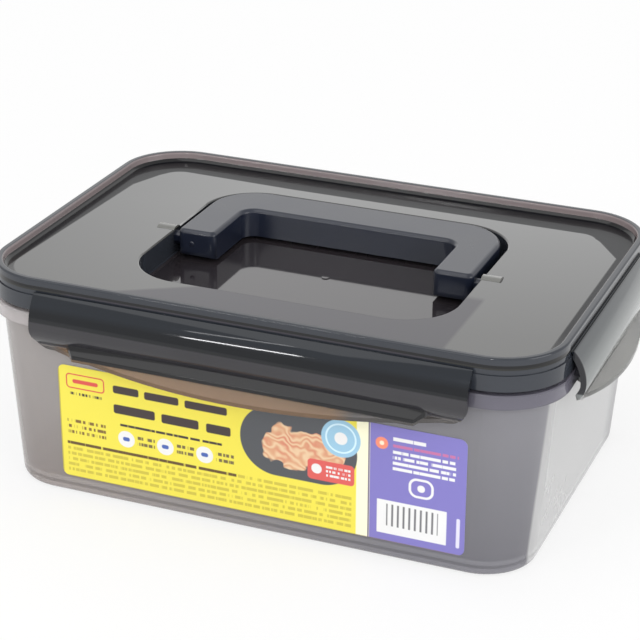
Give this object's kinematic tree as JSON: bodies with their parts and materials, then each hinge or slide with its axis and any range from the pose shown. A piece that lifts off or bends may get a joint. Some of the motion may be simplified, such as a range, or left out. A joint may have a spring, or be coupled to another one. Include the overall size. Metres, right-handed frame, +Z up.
{
  "type": "kimchi container",
  "caption": "Kimchi container: see-through drafted tub with a front label, smoky lid held down by hinged latch flaps, a seal, and a carrying handle that folds into a well in the lid.",
  "frame": {"origin": "centre of the whole part's box, at the height of the table under the foot ring", "axes": "+X along the long side, -Y towards the front wall with the label, +Z up"},
  "size_m": [0.2576, 0.1896, 0.094],
  "materials": {
    "tub_plastic": "clear, faintly purple-grey moulded plastic",
    "lid_plastic": "glossy smoky grey moulded plastic",
    "flap_plastic": "glossy smoky grey moulded plastic",
    "handle_plastic": "satin dark blue-grey moulded plastic",
    "seal": "milky soft seal",
    "label_film": "printed film"
  },
  "bodies": {
    "container": {"container_body": "tub_plastic", "lid": "lid_plastic", "seal_ring": "seal", "front_label": "label_film"},
    "handle": {"carry_handle": "handle_plastic"},
    "front_flap": {"front_latch": "flap_plastic"},
    "back_flap": {"back_latch": "flap_plastic"},
    "left_flap": {"left_latch": "flap_plastic"},
    "right_flap": {"right_latch": "flap_plastic"}
  },
  "joints": [
    {"name": "handle_swing", "type": "hinge", "parent": "container", "child": "handle", "pos_m": [0, 0, 0.086], "axis": [1, 0, 0], "range_deg": [0, 180]},
    {"name": "front_flap_hinge", "type": "hinge", "parent": "container", "child": "front_flap", "pos_m": [0, -0.0823, 0.08855], "axis": [-1, 0, 0], "range_deg": [0, 130]},
    {"name": "back_flap_hinge", "type": "hinge", "parent": "container", "child": "back_flap", "pos_m": [0, 0.0823, 0.08855], "axis": [1, 0, 0], "range_deg": [0, 130]},
    {"name": "left_flap_hinge", "type": "hinge", "parent": "container", "child": "left_flap", "pos_m": [-0.1188, 0, 0.08855], "axis": [0, 1, 0], "range_deg": [0, 130]},
    {"name": "right_flap_hinge", "type": "hinge", "parent": "container", "child": "right_flap", "pos_m": [0.1188, 0, 0.08855], "axis": [0, -1, 0], "range_deg": [0, 130]}
  ]
}
